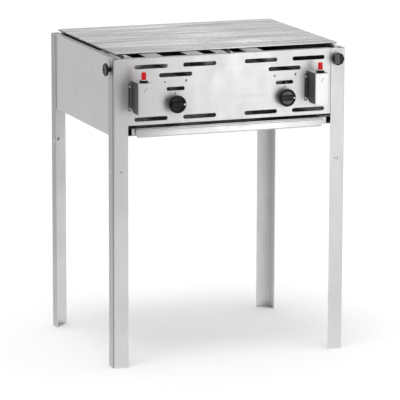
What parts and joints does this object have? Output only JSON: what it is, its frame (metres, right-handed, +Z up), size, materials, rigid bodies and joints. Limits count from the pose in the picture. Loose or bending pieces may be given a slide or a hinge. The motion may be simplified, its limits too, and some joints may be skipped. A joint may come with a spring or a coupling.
{
  "type": "gas barbecue",
  "caption": "Free-standing stainless gas barbecue on angle legs: rod grate, radiants and burners in a slotted casing, turning knobs, push igniters and a sliding drip tray.",
  "frame": {"origin": "on the floor, at the middle of the whole outline in X and Y", "axes": "+X to the user's right, +Y away from the user, +Z up; the controls face -Y"},
  "size_m": [0.682, 0.591, 0.8335],
  "materials": {
    "leg_steel": "brushed along the leg, satin",
    "casing_steel": "smooth bright rolled sheet, half mirror",
    "tray_steel": "bright sheet with bend lines",
    "rail_steel": "plain galvanised look, dull",
    "grate_steel": "bright drawn wire, slightly dulled",
    "radiant_steel": "folded bright sheet, lightly heat stained",
    "burner_steel": "satin tube, heat stained",
    "screw_steel": "bright zinc",
    "knob_plastic": "moulded thermoset, semi gloss",
    "button_plastic": "moulded, glossy red",
    "igniter_plastic": "moulded, off white",
    "brass": "turned, satin",
    "ceramic": "fired ceramic, white",
    "lead_rubber": "silicone sleeve",
    "copper": "drawn copper, slightly browned"
  },
  "bodies": {
    "frame": {"leg_front_left": "leg_steel", "leg_front_right": "leg_steel", "leg_rear_right": "leg_steel", "leg_rear_left": "leg_steel", "foot_plates": "leg_steel", "front_panel": "casing_steel", "back_panel": "casing_steel", "side_panel_left": "casing_steel", "side_panel_right": "casing_steel", "igniter_housing_left": "casing_steel", "igniter_housing_right": "casing_steel", "tray_rail_left": "rail_steel", "tray_rail_right": "rail_steel", "radiant_rail_front": "rail_steel", "radiant_rail_rear": "rail_steel", "burner_rail_front": "rail_steel", "burner_rail_rear": "rail_steel", "radiants_left": "radiant_steel", "radiants_right": "radiant_steel", "burner_left": "burner_steel", "burner_right": "burner_steel", "shelf_screws": "screw_steel", "shelf_screw_nuts": "screw_steel", "clamp_nuts": "screw_steel", "housing_screws": "screw_steel", "igniter_nuts": "knob_plastic", "piezo_igniter_left": "igniter_plastic", "piezo_igniter_right": "igniter_plastic", "gas_rail": "brass", "gas_inlet": "brass", "inlet_locknut": "brass", "gas_valve_left": "brass", "gas_valve_right": "brass", "injectors": "brass", "spark_electrodes": "ceramic", "ignition_leads": "lead_rubber", "thermocouples": "copper"},
    "drip_tray": {"drip_tray": "tray_steel", "drip_tray_front": "tray_steel"},
    "cooking_grate": {"cooking_grate": "grate_steel"},
    "star_knob_front_left": {"star_knob_front_left": "knob_plastic", "clamp_stud_front_left": "screw_steel"},
    "star_knob_front_right": {"star_knob_front_right": "knob_plastic", "clamp_stud_front_right": "screw_steel"},
    "star_knob_rear_right": {"star_knob_rear_right": "knob_plastic", "clamp_stud_rear_right": "screw_steel"},
    "star_knob_rear_left": {"star_knob_rear_left": "knob_plastic", "clamp_stud_rear_left": "screw_steel"},
    "valve_plug_left": {"valve_plug_left": "brass"},
    "valve_plug_right": {"valve_plug_right": "brass"},
    "control_knob_left": {"control_knob_left": "knob_plastic", "spindle_left": "screw_steel"},
    "control_knob_right": {"control_knob_right": "knob_plastic", "spindle_right": "screw_steel"},
    "igniter_button_left": {"igniter_button_left": "button_plastic"},
    "igniter_button_right": {"igniter_button_right": "button_plastic"}
  },
  "joints": [
    {"name": "drip_tray_slide", "type": "slide", "parent": "frame", "child": "drip_tray", "axis": [0, -1, 0], "range_m": [0, 0.4]},
    {"name": "grate_lift", "type": "slide", "parent": "frame", "child": "cooking_grate", "axis": [0, 0, 1], "range_m": [0, 0.12]},
    {"name": "star_knob_front_left_turn", "type": "hinge", "parent": "frame", "child": "star_knob_front_left", "pos_m": [-0.325, -0.2155, 0.792], "axis": [-1, 0, 0], "continuous": true},
    {"name": "star_knob_front_right_turn", "type": "hinge", "parent": "frame", "child": "star_knob_front_right", "pos_m": [0.3, -0.2405, 0.792], "axis": [0, -1, 0], "continuous": true},
    {"name": "star_knob_rear_right_turn", "type": "hinge", "parent": "frame", "child": "star_knob_rear_right", "pos_m": [0.325, 0.2545, 0.792], "axis": [1, 0, 0], "continuous": true},
    {"name": "star_knob_rear_left_turn", "type": "hinge", "parent": "frame", "child": "star_knob_rear_left", "pos_m": [-0.3, 0.2795, 0.792], "axis": [0, 1, 0], "continuous": true},
    {"name": "valve_left_turn", "type": "hinge", "parent": "frame", "child": "valve_plug_left", "pos_m": [-0.154, -0.2405, 0.697], "axis": [0, -1, 0], "range_deg": [0, 180]},
    {"name": "knob_left_push", "type": "slide", "parent": "valve_plug_left", "child": "control_knob_left", "axis": [0, 1, 0], "range_m": [0, 0.0035], "stiffness_N_per_m": 900, "springref_m": -0.004},
    {"name": "valve_right_turn", "type": "hinge", "parent": "frame", "child": "valve_plug_right", "pos_m": [0.154, -0.2405, 0.697], "axis": [0, -1, 0], "range_deg": [0, 180]},
    {"name": "knob_right_push", "type": "slide", "parent": "valve_plug_right", "child": "control_knob_right", "axis": [0, 1, 0], "range_m": [0, 0.0035], "stiffness_N_per_m": 900, "springref_m": -0.004},
    {"name": "igniter_left_press", "type": "slide", "parent": "frame", "child": "igniter_button_left", "axis": [0, 0, -1], "range_m": [0, 0.007], "stiffness_N_per_m": 1200, "springref_m": -0.003},
    {"name": "igniter_right_press", "type": "slide", "parent": "frame", "child": "igniter_button_right", "axis": [0, 0, -1], "range_m": [0, 0.007], "stiffness_N_per_m": 1200, "springref_m": -0.003}
  ]
}
